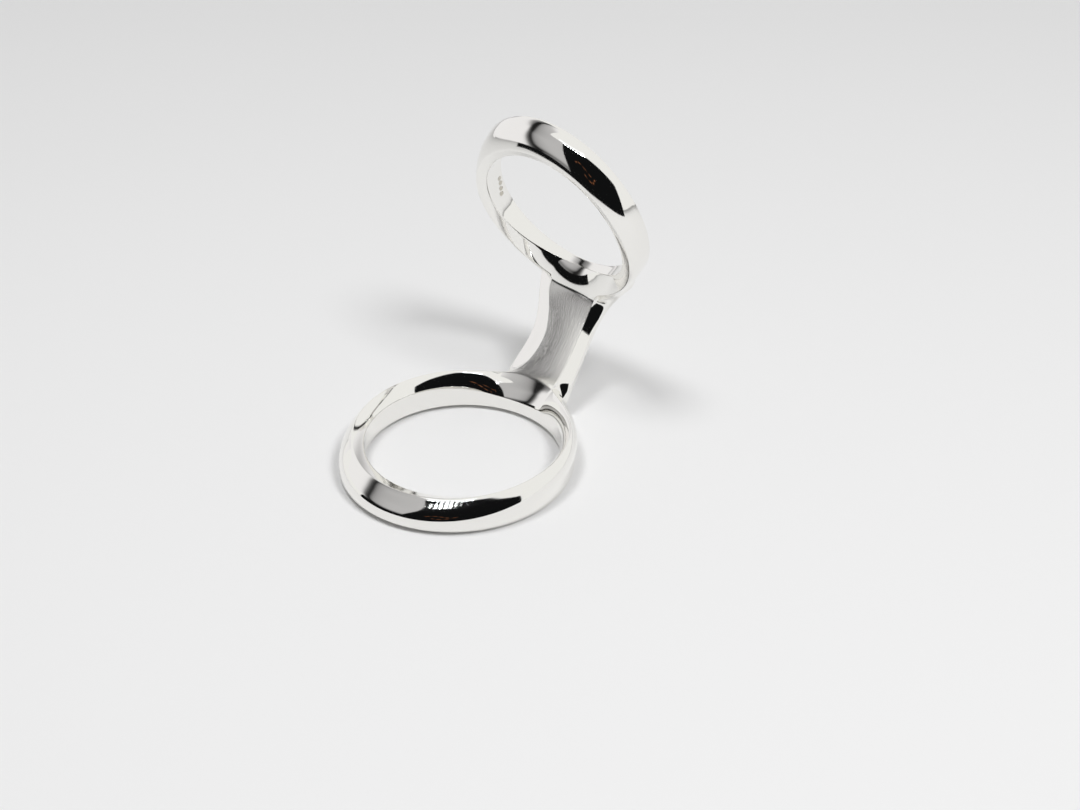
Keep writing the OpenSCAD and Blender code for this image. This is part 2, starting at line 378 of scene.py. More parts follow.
def slanted_angle(size, angle, depth):
    """The dome's columns lean away from the bridge, so that its corners spread."""
    off, neck = angle.math("ABSOLUTE"), size["Neck half angle"]
    fall = (off / neck).or_else(off.below(neck), ((neck - off) / size["Slant spread"]).at_most(0).exp())
    full = size["Rows to the widest line"] + size["Rows to the rim"] / 2
    return angle + angle.math("SIGN") * size["Column slant"] * fall * (depth / full).at_most(1)


def make_band_tree():
    tree = bpy.data.node_groups.new("Band", "GeometryNodeTree")
    size = named_inputs(tree)
    rows = size["Rows of the wall"] + size["Rows of the flare"]
    rows = rows + size["Rows to the widest line"] + size["Rows to the rim"] + 2
    columns = size["Columns at the neck"] + size["Columns round"] + 1
    grid = add_node(tree, "GeometryNodeMeshGrid", {"Vertices X": columns, "Vertices Y": rows})
    column, row = grid_places(tree, size, rows)
    angle = column_angle(size, column)
    r, z, depth = band_outline(size, band_lines(size, angle), row)
    turned = slanted_angle(size, angle, depth)
    place = size["Centre"].socket
    for amount, direction in ((r * turned.cos(), "To bridge"), (r * turned.sin(), "Sideways"), (z, "Axis")):
        scaled = add_node(
            tree,
            "ShaderNodeVectorMath",
            {0: size[direction], "Scale": amount * MM},
            operation="SCALE",
        )
        place = add_node(
            tree, "ShaderNodeVectorMath", {0: place, 1: scaled.outputs[0]}, operation="ADD"
        ).outputs[0]
    bent = add_node(tree, "GeometryNodeSetPosition", {"Geometry": grid.outputs["Mesh"], "Position": place})
    shape = bent.outputs[0]
    closed = (("row", row.math("MODULO", rows - 1)), ("column", column.math("MODULO", columns - 1)))
    for name, value in closed:
        shape = add_node(
            tree,
            "GeometryNodeStoreNamedAttribute",
            {"Geometry": shape, "Name": name, "Value": value},
            data_type="INT",
            domain="POINT",
        ).outputs[0]
    face_column, face_row = grid_places(tree, size, rows - 1)
    crest = size["Rows of the wall"] + size["Rows of the flare"]
    hole_end = crest + size["Rows to the widest line"] + size["Rows to the rim"] / 2
    in_hole = face_column.below(size["Columns at the neck"] - 0.5) * face_row.below(hole_end - 0.5)
    in_hole = in_hole * face_row.math("GREATER_THAN", crest - 0.5)
    opened = add_node(
        tree,
        "GeometryNodeDeleteGeometry",
        {"Geometry": shape, "Selection": in_hole.math("GREATER_THAN", 0.5)},
        domain="FACE",
    )
    welded = add_node(
        tree, "GeometryNodeMergeByDistance", {"Geometry": opened.outputs[0], "Distance": WELD_DISTANCE}
    )
    real = add_node(tree, "GeometryNodeRealizeInstances", {"Geometry": welded.outputs[0]})
    coated = add_node(
        tree, "GeometryNodeSetMaterial", {"Geometry": real.outputs[0], "Material": size["Metal"]}
    )
    end = tree.nodes.new("NodeGroupOutput")
    tree.links.new(coated.outputs[0], end.inputs["Geometry"])
    return tree


band_tree = make_band_tree()
silver = bpy.data.materials.new("silver_polished")
print("band tree:", len(band_tree.nodes), "nodes")

# %% [markdown]
# A modifier on an object with an empty mesh grows a band, and the result is kept as a plain mesh. The
# bridge needs real vertices to start from, which a modifier alone wouldn't give it.

# %% Grow both bands
def grow_band(name, which, placed):
    """A plain mesh of one band, grown by the tree with that band's sizes."""
    seed = bpy.data.objects.new(name, bpy.data.meshes.new(name))
    bpy.context.scene.collection.objects.link(seed)
    modifier = seed.modifiers.new("Band", "NODES")
    modifier.node_group = band_tree
    values = {size: pair[which] for size, pair in BAND_SIZES.items()} | GRID_SIZES | placed
    for item in band_tree.interface.items_tree:
        if item.in_out == "INPUT" and item.name in values:
            value = values[item.name]
            kind = {"NodeSocketInt": int, "NodeSocketVector": tuple}.get(item.socket_type, float)
            modifier[item.identifier] = kind(value)
        elif item.name == "Metal":
            modifier[item.identifier] = silver
    bpy.context.view_layer.update()
    grown = bpy.data.meshes.new_from_object(seed.evaluated_get(bpy.context.evaluated_depsgraph_get()))
    bpy.data.objects.remove(seed)
    return grown


band_meshes = [grow_band("lower_band", 0, LOWER), grow_band("upper_band", 1, UPPER)]
print("band vertices:", [len(mesh.vertices) for mesh in band_meshes])

# %% [markdown]
# ## The bridge
#
# On the real ring the bridge is a strip bent in two directions, filed thin at the waist and run into
# both bands without a seam. Nodes are awkward here, because the strip starts from one ring of
# vertices and ends on another. A short loft in mesh code is plainer: each vertex of the opening in
# the lower band sends a smooth column of points through three bridge sections to its partner in the
# upper band. The columns leave each band in the band's own direction, which hides the join.

# %% Bridge sizes
SECTION_SIZES = ("out", "up", "aside", "lean", "half width", "bulges", "thick")
BRIDGE_SECTIONS = [
    dict(zip(SECTION_SIZES, row))
    for row in (
        (11.3, 3.4, -0.8, 24, 2.0, (2.0, 1.3), 2.0),
        (15.7, 6.1, -0.8, 41, 1.5, (1.6, 0.7), 1.9),
        (18.55, 9.1, 0.5, 64, 2.7, (1.25, 1.05), 1.9),
    )
]
SIDE_DEPTHS = (0.45, 1.15)
SIDE_PULL = {"out": 0.6, "down at the edge": 0.5, "down at the side": 0.45}
BACK_PULL = 0.55
FRONT_CROWN = 0.1
PULL = {"front": (0.4, 0.5), "side": (0.65, 0.65), "back": (1.2, 1.0)}
CORNER_LEAD = 0.45
CORNER_PULL = 0.6
CORNER_POWER = 3
BRIDGE_STEPS = 72
BRIDGE_ENDS = ((9, 2.2), (19.5, 11.5))
BRIDGE_LENGTH = math.dist(*BRIDGE_ENDS)
CUBIC = 3
KNOTS = (0, 0, 0, 0, 1, 2, 3, 4, 4, 4, 4)

NECK_COLUMNS = GRID_SIZES["Columns at the neck"]
ALL_COLUMNS = NECK_COLUMNS + GRID_SIZES["Columns round"]
TOP_ROWS = GRID_SIZES["Rows to the widest line"]
CREST_ROW = GRID_SIZES["Rows of the wall"] + GRID_SIZES["Rows of the flare"]
SIDE_ROWS = TOP_ROWS + GRID_SIZES["Rows to the rim"] // 2
HOLE_ROW = CREST_ROW + SIDE_ROWS
print("bridge length about", round(BRIDGE_LENGTH), "mm along the chord")

# %% [markdown]
# The two openings have the same number of vertices in the same order: front edge, one side, back
# edge and the other side. How a column sets off from the band is a direction and a pull, like the
# handles of a curve.

# %% Loops at the two openings
LOOP = (
    [("front", CREST_ROW, c) for c in range(NECK_COLUMNS + 1)]
    + [("side", r, NECK_COLUMNS) for r in range(CREST_ROW + 1, HOLE_ROW)]
    + [("back", HOLE_ROW, c) for c in range(NECK_COLUMNS, -1, -1)]
    + [("side", r, 0) for r in range(HOLE_ROW - 1, CREST_ROW, -1)]
)


def grid_points(mesh):
    """Positions of a band's vertices in mm, found by row and column."""
    rows = mesh.attributes["row"].data
    columns = mesh.attributes["column"].data
    return {(rows[v.index].value, columns[v.index].value): np.array(v.co) / MM for v in mesh.vertices}


def unit(v):
    return v / np.linalg.norm(v)


def leads(points, placed, which):
    """Direction and pull with which each loop vertex's column leaves the band."""
    neck = BAND_SIZES["Neck half angle"][which]
    to_bridge, sideways = np.array(placed["To bridge"]), np.array(placed["Sideways"])
    made = []
    for part, row, column in LOOP:
        here = points[row, column]
        if part == "side":
            outside = column + 1 if column else ALL_COLUMNS - 1
            weight = ((row - CREST_ROW) / SIDE_ROWS) ** 2
            course = unit(here - points[row, outside]) + unit(here - points[row + 1, column]) * weight
        else:
            share = column / NECK_COLUMNS * 2 - 1
            weight = abs(share) ** CORNER_POWER
            turned = math.radians(neck * share - math.copysign(90, share))
            inwards = (to_bridge * math.cos(turned) + sideways * math.sin(turned)) * (share != 0)
            before = points[row - 1, column] if part == "front" else points[row + 1, column]
            kept = 1 - (1 - CORNER_LEAD) * weight if part == "front" else 1
            course = unit(here - before) * kept + inwards * weight
        made.append(unit(course) * (1 - (1 - CORNER_PULL) * weight) * PULL[part][which])
    return np.array(made)


band_points = [grid_points(mesh) for mesh in band_meshes]
loop_points = [np.array([points[row, column] for part, row, column in LOOP]) for points in band_points]
loop_leads = [leads(band_points[0], LOWER, 0), leads(band_points[1], UPPER, 1)]
print("loop of", len(LOOP), "vertices on each band")

# %% [markdown]
# Each section of the bridge is drawn flat: a nearly straight front with an edge at both ends, bulged
# sides and a rounded back. It is then leaned and put in place. The columns are cubic B-splines. They
# start and end on the loops and only lean towards the sections, which keeps the metal smooth.

# %% Sections and splines
HALF_OUTLINE = SIDE_ROWS + NECK_COLUMNS / 2


def half_section(section, side, i):
    """Distance from the middle and depth of a section's point, i steps round from the front's edge."""
    width, bulge, deep = section["half width"], section["bulges"][side], SIDE_DEPTHS[side]
    wide, thick = width + bulge, section["thick"]
    if i <= TOP_ROWS:
        t = i / TOP_ROWS
        leaves, arrives = SIDE_PULL["down at the edge"] * deep, SIDE_PULL["down at the side"] * deep
        across = bezier(width, width + SIDE_PULL["out"] * bulge, wide, wide, t)
        return across, bezier(0, leaves, arrives, deep, t)
    t = (i - TOP_ROWS) / (HALF_OUTLINE - TOP_ROWS)
    lower = deep + BACK_PULL * (thick - deep)
    return bezier(wide, wide, BACK_PULL * wide, 0, t), bezier(deep, lower, thick, thick, t)


def section_points(section):
    """A bridge section in mm, point for point with the loops."""
    lean = math.radians(section["lean"])
    points = []
    for j in range(len(LOOP)):
        share, i = j / NECK_COLUMNS * 2 - 1, j - NECK_COLUMNS
        if j <= NECK_COLUMNS:
            y, depth = share * section["half width"], -FRONT_CROWN * (1 - share * share)
        elif i <= HALF_OUTLINE:
            y, depth = half_section(section, 0, i)
        else:
            y, depth = half_section(section, 1, 2 * HALF_OUTLINE - i)
            y = -y
        along = (section["out"] + depth * math.sin(lean), section["up"] - depth * math.cos(lean))
        points.append((along[0], section["aside"] + y, along[1]))
    return np.array(points)


def basis(i, degree, t):
    """Weight of control point i on the clamped spline at t."""
    if degree == 0:
        return 1.0 if KNOTS[i] <= t < KNOTS[i + 1] else 0.0
    before, after = KNOTS[i + degree] - KNOTS[i], KNOTS[i + degree + 1] - KNOTS[i + 1]
    weight = (t - KNOTS[i]) / before * basis(i, degree - 1, t) if before else 0.0
    return weight + ((KNOTS[i + degree + 1] - t) / after * basis(i + 1, degree - 1, t) if after else 0.0)


controls = [
    loop_points[0],
    loop_points[0] + loop_leads[0],
    *[section_points(section) for section in BRIDGE_SECTIONS],
    loop_points[1] + loop_leads[1],
    loop_points[1],
]
bridge_rows = [
    sum(basis(i, CUBIC, KNOTS[-1] * k / BRIDGE_STEPS) * points for i, points in enumerate(controls))
    for k in range(1, BRIDGE_STEPS)
]
print("bridge rows:", len(bridge_rows))

# %% [markdown]
# The vertices of the bridge are joined to those that the bands already have, so nothing overlaps and
# the skin is closed. Three values go with them for the finish: where a vertex is along and across the
# bridge, and how far it belongs to the bridge at all.

# %% Join bands and bridge into one skin
CREST_ROUNDING = 0.10
BORE_EDGE_ROUNDING = 0.14


def join_skin():
    """Bands and bridge as one closed mesh, with edge weights and the values for the finish."""
    skin = bmesh.new()
    round_edges = skin.edges.layers.float.new("bevel_weight_edge")
    bridge = skin.verts.layers.float.new("bridge")
    across = skin.verts.layers.float.new("across")
    along = skin.verts.layers.float.new("along")
    loops = []
    for mesh in band_meshes:
        first = len(skin.verts)
        skin.from_mesh(mesh)
        skin.verts.ensure_lookup_table()
        layers = {name: skin.verts.layers.int[name] for name in ("row", "column")}
        found = {(v[layers["row"]], v[layers["column"]]): v for v in skin.verts[first:]}
        loops.append([found[row, column] for part, row, column in LOOP])
    rings = [loops[0]]
    for points in bridge_rows:
        rings.append([skin.verts.new(point * MM) for point in points])
    rings.append(loops[1])
    lateral = np.cumsum([0, *np.linalg.norm(np.diff(section_points(BRIDGE_SECTIONS[1]), axis=0), axis=1)])
    for k, ring in enumerate(rings):
        for vert, distance in zip(ring, lateral):
            vert[bridge] = math.sin(math.pi * k / BRIDGE_STEPS) ** 0.5
            vert[across] = distance
            vert[along] = BRIDGE_LENGTH * k / BRIDGE_STEPS
    for ring, following in zip(rings, rings[1:]):
        for j in range(len(LOOP)):
            i = (j + 1) % len(LOOP)
            skin.faces.new((ring[j], ring[i], following[i], following[j]))
        for j in (0, NECK_COLUMNS):
            skin.edges.get((ring[j], following[j]))[round_edges] = CREST_ROUNDING / BORE_EDGE_ROUNDING
    wall_rows = (0, GRID_SIZES["Rows of the wall"])
    in_bridge = {v for ring in rings[1:-1] for v in ring}
    for edge in skin.edges:
        if in_bridge.isdisjoint(edge.verts):
            row = edge.verts[0][layers["row"]]
            if row == edge.verts[1][layers["row"]]:
                neck_edge = all(v in loops[0] or v in loops[1] for v in edge.verts)
                if row == CREST_ROW and not neck_edge:
                    edge[round_edges] = CREST_ROUNDING / BORE_EDGE_ROUNDING
                elif row in wall_rows:
                    edge[round_edges] = 1.0
    bmesh.ops.recalc_face_normals(skin, faces=skin.faces)
    for face in skin.faces:
        face.smooth = True
    mesh = bpy.data.meshes.new("splint_ring_skin")
    skin.to_mesh(mesh)
    skin.free()
    mesh.materials.append(silver)
    return mesh


ring = bpy.data.objects.new("splint_ring_skin", join_skin())
bpy.context.scene.collection.objects.link(ring)
print("skin:", len(ring.data.vertices), "vertices,", len(ring.data.polygons), "faces")

# %% [markdown]
# ## Worked edges
#
# A filed edge on silver is never sharp: polishing rounds it to a tenth of a millimetre, and that
# thin round is what catches the light along the crest. The Bevel modifier makes it from the weights
# that the skin carries, a little wider at the two mouths of each bore.

# %% Round the edges
edges = ring.modifiers.new("worked edges", "BEVEL")
edges.limit_method = "WEIGHT"
edges.width = BORE_EDGE_ROUNDING * MM
edges.segments = 3
edges.use_clamp_overlap = True
print("edges rounded to", BORE_EDGE_ROUNDING, "and", CREST_ROUNDING, "mm")

# %% [markdown]
# ## Silver
#
# Polished silver has almost no colour of its own: it shows the room. What makes it real is that the
# polish is not perfect: a mop leaves hairlines, and a face worked by hand waves a little. Each such
# effect is a shader group that only gives a height or a mask, so that other finishes can use it.

# %% Silver: helpers for shader groups
def start_group(name, inputs, outputs):
    """An empty shader group with its sockets, and its two end nodes."""
    group = bpy.data.node_groups.new(name, "ShaderNodeTree")
    for label, kind, value in inputs:
        socket = group.interface.new_socket(label, in_out="INPUT", socket_type=kind)
        if value is not None:
            socket.default_value = value
    for label, kind in outputs:
        group.interface.new_socket(label, in_out="OUTPUT", socket_type=kind)
    return group, group.nodes.new("NodeGroupInput"), group.nodes.new("NodeGroupOutput")


def calculate(tree, operation, a, b):
    """The result of one Math node."""
    return add_node(tree, "ShaderNodeMath", {0: a, 1: b}, operation=operation).outputs[0]


def noise_scale(tree, millimetres):
    """The scale that makes noise this wide."""
    return calculate(tree, "DIVIDE", 1.0, calculate(tree, "MULTIPLY", MM, millimetres))


def stretch(tree, vector, amounts):
    """A vector multiplied in each direction."""
    return add_node(tree, "ShaderNodeVectorMath", {0: vector, 1: amounts}, operation="MULTIPLY").outputs[0]


def give_noise(group, made, vector, scale, **settings):
    """Noise as the height that a group gives."""
    noise = add_node(group, "ShaderNodeTexNoise", {"Vector": vector, "Scale": scale, **settings})
    group.links.new(noise.outputs["Fac"], made.inputs["Height"])


print("helpers ready")

# %% Silver: hairlines from the polishing mop
def make_hairlines():
    """A height made of long fine lines: noise that is stretched along one direction."""
    group, given, made = start_group(
        "Hairlines",
        [
            ("Vector", "NodeSocketVector", None),
            ("Line width", "NodeSocketFloat", 0.04),
            ("Stretch", "NodeSocketVector", (1.0, 1.0, 0.04)),
        ],
        [("Height", "NodeSocketFloat")],
    )
    scale = noise_scale(group, given.outputs["Line width"])
    drawn = stretch(group, given.outputs["Vector"], given.outputs["Stretch"])
    give_noise(group, made, drawn, scale, Detail=3.0, Roughness=0.6)
    return group


hairlines = make_hairlines()
print("group:", hairlines.name)

# %% [markdown]
# The waves are far wider than the hairlines and very shallow. They bend the edges of reflections.

# %% Silver: the slow waves of a hand-worked face
def make_waves():
    """A height made of wide, soft noise."""
    group, given, made = start_group(
        "Hand-worked waves",
        [("Vector", "NodeSocketVector", None), ("Wave length", "NodeSocketFloat", 2.5)],
        [("Height", "NodeSocketFloat")],
    )
    give_noise(
        group, made, given.outputs["Vector"], noise_scale(group, given.outputs["Wave length"]), Detail=1.0
    )
    return group


waves = make_waves()
print("group:", waves.name)

# %% [markdown]
# The front of the bridge is duller than the bands, with fine strokes along it. The skin carries each
# vertex's place along and across the bridge. Noise that is stretched on those two values runs with
# the metal, also where it bends, which noise in straight directions would not.

# %% Silver: the satin front of the bridge
def make_satin():
    """Where the front of the bridge is, and the height of the lines that run along it."""
    group, given, made = start_group(
        "Satin front",
        [
            ("Along", "NodeSocketFloat", None),
            ("Across", "NodeSocketFloat", None),
            ("Bridge", "NodeSocketFloat", None),
            ("Front width", "NodeSocketFloat", 3.0),
            ("Lines per mm", "NodeSocketVector", (14.0, 0.7, 1.0)),
        ],
        [("Mask", "NodeSocketFloat"), ("Height", "NodeSocketFloat")],
    )
    place = add_node(
        group, "ShaderNodeCombineXYZ", {"X": given.outputs["Across"], "Y": given.outputs["Along"]}
    )
    drawn = stretch(group, place.outputs[0], given.outputs["Lines per mm"])
    give_noise(group, made, drawn, 1.0, Detail=4.0, Roughness=0.65)
    in_front = calculate(group, "LESS_THAN", given.outputs["Across"], given.outputs["Front width"])
    mask = calculate(group, "MULTIPLY", in_front, given.outputs["Bridge"])
    group.links.new(mask, made.inputs["Mask"])
    return group


satin = make_satin()
print("group:", satin.name)

# %% [markdown]
# A row of four plain dots is punched inside the upper band. A dot is a distance to a point, so it
# needs no image and no extra faces.

# %% Silver: a punched dot
def make_punch():
    """1 inside a small round dot, 0 outside, with a soft edge."""
    group, given, made = start_group(
        "Punched dot",
        [
            ("Vector", "NodeSocketVector", None),
            ("Centre", "NodeSocketVector", (0.0, 0.0, 0.0)),
            ("Radius", "NodeSocketFloat", 0.3),
        ],
        [("Mask", "NodeSocketFloat")],
    )
    ends = {0: given.outputs["Vector"], 1: given.outputs["Centre"]}
    away = add_node(group, "ShaderNodeVectorMath", ends, operation="DISTANCE").outputs["Value"]
    share = calculate(group, "DIVIDE", away, calculate(group, "MULTIPLY", given.outputs["Radius"], MM))
    soft = add_node(
        group,
        "ShaderNodeMapRange",
        {"Value": share, "From Min": 1.0, "From Max": 0.6},
        interpolation_type="SMOOTHSTEP",
    )
    group.links.new(soft.outputs[0], made.inputs["Mask"])
    return group


punch = make_punch()
PUNCH_DOTS = ((17.21, 7.70, 19.70), (17.40, 7.71, 19.15), (17.47, 7.70, 18.55), (17.50, 7.69, 18.00))
print("group:", punch.name)

# %% [markdown]
# The material itself stays simple: full metal in silver's colour, because there is no paint or
# lacquer over it, and darker in the punched dots, where polish doesn't reach.

# %% Silver: colour
SILVER_COLOUR = (0.93, 0.92, 0.89, 1.0)
PUNCHED_COLOUR = (0.60, 0.57, 0.50, 1.0)
silver.use_nodes = True
tree = silver.node_tree
shader = tree.nodes["Principled BSDF"]
shader.inputs["Metallic"].default_value = 1.0
place = tree.nodes.new("ShaderNodeTexCoord").outputs["Object"]
dots = [
    add_node(
        tree, "ShaderNodeGroup", {"Vector": place, "Centre": [v * MM for v in dot]}, node_tree=punch
    ).outputs["Mask"]
    for dot in PUNCH_DOTS
]
marked = dots[0]
for dot in dots[1:]:
    marked = calculate(tree, "MAXIMUM", marked, dot)
colour = add_node(
    tree, "ShaderNodeMix", {"Factor": marked, 6: SILVER_COLOUR, 7: PUNCHED_COLOUR}, data_type="RGBA"
)
tree.links.new(colour.outputs[2], shader.inputs["Base Color"])
print("punched dots:", len(dots))

# %% [markdown]
# The heights go through a chain of Bump nodes: waves, hairlines, the strokes on the bridge's front and
# the punched dots. Each has its own depth in millimetres. Bump only turns the light, so the outline
# of the ring stays that of the skin.

# %% Silver: relief and gloss
POLISHED, SATIN = 0.05, 0.16
LINE_WIDTH = 0.05
WAVE_DEPTH, HAIRLINE_DEPTH, STROKE_DEPTH, PUNCH_DEPTH = 0.1, 0.01, 0.016, 0.06
FAINT, CLEAR = 0.05, 0.6
slow = add_node(tree, "ShaderNodeGroup", {"Vector": place}, node_tree=waves)
lines = add_node(tree, "ShaderNodeGroup", {"Vector": place, "Line width": LINE_WIDTH}, node_tree=hairlines)
front = add_node(tree, "ShaderNodeGroup", node_tree=satin)
for name in ("Along", "Across", "Bridge"):
    carried = add_node(tree, "ShaderNodeAttribute", attribute_name=name.lower())
    tree.links.new(carried.outputs["Fac"], front.inputs[name])
in_front = front.outputs["Mask"]
gloss = add_node(tree, "ShaderNodeMapRange", {"Value": in_front, "To Min": POLISHED, "To Max": SATIN})
tree.links.new(gloss.outputs[0], shader.inputs["Roughness"])
relief = None
for height, strength, depth, inwards in (
    (slow.outputs["Height"], FAINT, WAVE_DEPTH, False),
    (lines.outputs["Height"], FAINT, HAIRLINE_DEPTH, False),
    (front.outputs["Height"], in_front, STROKE_DEPTH, False),
    (marked, CLEAR, PUNCH_DEPTH, True),
):
    values = {"Height": height, "Strength": strength, "Distance": depth * MM}
    if relief:
        values["Normal"] = relief.outputs[0]
    relief = add_node(tree, "ShaderNodeBump", values, invert=inwards)
tree.links.new(relief.outputs[0], shader.inputs["Normal"])
print("silver has", len(tree.nodes), "nodes")

# %% [markdown]
# ## Camera
#
# The picture is taken from above and from the front left, with a long lens from close by. The place
# was found from the two bores, which show as ellipses whose real radii are known.

# %% Camera
CAMERA_PLACE = Vector((-122.24, -90.98, 103.70)) * MM
CAMERA_TURN = (57.35, 0.0, -56.0)
LENS, SENSOR = 66.7, 36.0
camera = bpy.data.objects.new("camera", bpy.data.cameras.new("camera"))
camera.location = CAMERA_PLACE
camera.rotation_euler = [math.radians(angle) for angle in CAMERA_TURN]
camera.data.lens, camera.data.sensor_width = LENS, SENSOR
camera.data.clip_start = 1 * MM
bpy.context.scene.collection.objects.link(camera)
bpy.context.scene.camera = camera
FRONT = math.atan2(CAMERA_PLACE.y, CAMERA_PLACE.x)
print("camera", round(CAMERA_PLACE.length / MM), "mm away, front azimuth", round(math.degrees(FRONT), 1))

# %% [markdown]
# ## Light box
#
# The ring stands on white paper in a white box whose front is open. Polished silver is a mirror, so
# the box is part of the picture: the open front is the black in it, a grey cloth hangs at one side
# of the opening and a row of lamps runs along its top. Each is a patch at a distance from the ring,
# given by the directions that it spans. The patches show only in reflections, not to the camera.

# %% Patches around the ring
BOX_RADIUS = 190 * MM
BOX_MIDDLE = Vector((6, 0, 0)) * MM


def plain_material(name, colour, strength):
    """A surface that shows its strength, times the tone that its mesh carries, from everywhere."""
    material = bpy.data.materials.new(name)
    material.use_nodes = True
    tree = material.node_tree
    tree.nodes.clear()
    tone = add_node(tree, "ShaderNodeAttribute", attribute_name="tone")
    toned = calculate(tree, "MULTIPLY", tone.outputs["Fac"], strength)
    glow = add_node(tree, "ShaderNodeEmission", {"Color": (*colour, 1.0), "Strength": toned})
    add_node(tree, "ShaderNodeOutputMaterial", {"Surface": glow.outputs[0]})
    return material


def direction(azimuth, elevation):
    """Unit vector. Azimuth is in degrees from the camera's side, anticlockwise from above."""
    a, e = FRONT + math.radians(azimuth), math.radians(elevation)
    return Vector((math.cos(a) * math.cos(e), math.sin(a) * math.cos(e), math.sin(e)))


def far_away(share=1.0):
    """Distance to the box's walls, or a share of it for what hangs in front of them."""
    return lambda elevation: BOX_RADIUS * share


def upright(radius):
    """Distance to a wall that stands round the ring."""
    return lambda elevation: radius / math.cos(math.radians(elevation))


def patch(name, span, low, high, material, distance=far_away(), steps=(48, 12), tone=lambda a, e: 1.0):
    """A curved patch between two azimuths. The edges, distance and tone change with the direction."""
    (left, right), (columns, rows) = span, steps
    corners, faces, tones = [], [], []
    for i in range(columns + 1):
        azimuth = left + (right - left) * i / columns
        for j in range(rows + 1):
            elevation = low(azimuth) + (high(azimuth) - low(azimuth)) * j / rows
            corners.append(BOX_MIDDLE + direction(azimuth, elevation) * distance(elevation))
            tones.append(tone(azimuth, elevation))
    for i in range(columns):
        for j in range(rows):
            k = i * (rows + 1) + j
            faces.append((k, k + 1, k + rows + 2, k + rows + 1))
    mesh = bpy.data.meshes.new(name)
    mesh.from_pydata(corners, [], faces)
    mesh.attributes.new("tone", "FLOAT", "POINT").data.foreach_set("value", tones)
    mesh.materials.append(material)
    made = bpy.data.objects.new(name, mesh)
    bpy.context.scene.collection.objects.link(made)
    made.visible_camera = False
    made.visible_diffuse = False
    made.visible_shadow = False
    return made


def level(elevation):
    """An edge at the same height all round."""
    return lambda azimuth: elevation


print("patches at", round(BOX_RADIUS / MM), "mm")

# %% [markdown]
# The open front is black, and its upper edge is straight. Seen from the ring, a straight edge rises
# and falls as an arc, highest where the opening faces.

# %% The open front
OPENING_FACES, OPENING_RISE, RAIL_LOW = -19, 1.73, 59


def opening_top(azimuth):
    """Elevation of the opening's upper edge, which the lamp rail cuts off."""
    straight = math.degrees(math.atan(OPENING_RISE * math.cos(math.radians(azimuth - OPENING_FACES))))
    return min(RAIL_LOW, straight)


dark = plain_material("open_front", (0.9, 0.95, 1.0), 0.006)
patch("open_front", (-92, 52), level(-7), opening_top, dark)
print("top of the opening:", [round(opening_top(a)) for a in (-90, OPENING_FACES, 50)], "degrees")

# %% [markdown]
# The cloth is near the ring, so the two bands see it from different heights. It is light where it
# hangs flat, and dark in a fold along its left edge, which leans out towards the top. One formula for
# the shade keeps the change smooth, where separate grey patches would show their own edges. Angles
# are in degrees, and shades are shares.

# %% Shade of the cloth
BOX_WHITE_SEEN, CLOTH_SEEN = 0.88, 0.50
BEYOND_CLOTH = BOX_WHITE_SEEN / CLOTH_SEEN
DARKEST = 0.03
EDGE = {"left": -74, "at": 5, "lean": 0.6, "flare": 45, "flare at": 62, "flare over": 7}
FOLD = {"width": 5, "growth": 9, "from": 42, "over": 18, "dark": 0.9, "dim": 0.42, "dim reach": 3}
HEM = {"at": 18, "spread": 3, "dark": 0.6}
PAST = {"folds out": 0.8, "softness": 1.5, "below": 49, "below softness": 1.2}
BEHIND = {"from": 10, "softness": 6, "dark": 0.35}
OVER = {"from": 72, "softness": 1.5}
CLOTH_RISE, RISES_AT, RISES_OVER = 17, 84, 2


def hill(value, middle, spread):
    """1 at the middle, falling to 0 on both sides."""
    return math.exp(-(((value - middle) / spread) ** 2))


def ramp(value, middle, softness):
    """0 below the middle and 1 above it."""
    return 1 / (1 + math.exp((middle - value) / softness))


def cloth_edge(elevation):
    """The cloth's left edge leans out, the higher the further."""
    flare = EDGE["flare"] * math.exp((elevation - EDGE["flare at"]) / EDGE["flare over"])
    return EDGE["left"] - EDGE["lean"] * (elevation - EDGE["at"]) - flare


def cloth_tone(azimuth, elevation):
    """Light where the cloth hangs flat, dark in its fold and at its hem, and box white beyond."""
    inside = azimuth - cloth_edge(elevation)
    fold = FOLD["width"] + FOLD["growth"] * max(0, (elevation - FOLD["from"]) / FOLD["over"])
    folded = FOLD["dark"] * hill(inside, 0, fold) + FOLD["dim"] * hill(inside, 0, FOLD["dim reach"] * fold)
    hem = HEM["dark"] * hill(elevation, HEM["at"], HEM["spread"])
    past = ramp(-inside, PAST["folds out"] * fold, PAST["softness"])
    past = past * ramp(-elevation, -PAST["below"], PAST["below softness"])
    behind = BEHIND["dark"] * ramp(-inside, BEHIND["from"], BEHIND["softness"]) * (1 - past)
    over = ramp(elevation, OVER["from"], OVER["softness"])
    shade = max(DARKEST, 1 - folded - hem - behind)
    return shade + (BEYOND_CLOTH - shade) * max(past, over)


def cloth_top(azimuth):
    """Under the lamp rail on the right, and higher on the left."""
    return RAIL_LOW + CLOTH_RISE * ramp(-azimuth, RISES_AT, RISES_OVER)


print("cloth tones:", [round(cloth_tone(a, 40), 2) for a in (-110, -95, -80, -50)])

# %% The cloth and the wall behind
CLOTH_AWAY = 80 * MM
WALL_GREY = {"round": (180, 34), "up": (13, 6)}


def wall_tone(azimuth, elevation):
    """White, with a soft grey in the middle of the wall behind the ring."""
    return BEYOND_CLOTH - hill(azimuth, *WALL_GREY["round"]) * hill(elevation, *WALL_GREY["up"])


grey = plain_material("grey_cloth", (1.0, 0.99, 1.0), CLOTH_SEEN)
patch("grey_cloth", (-168, -47), level(16), cloth_top, grey, upright(CLOTH_AWAY), (121, 48), cloth_tone)
patch("back_wall", (130, 230), level(4), level(22), grey, tone=wall_tone)
print("cloth", round(CLOTH_AWAY / MM), "mm away")

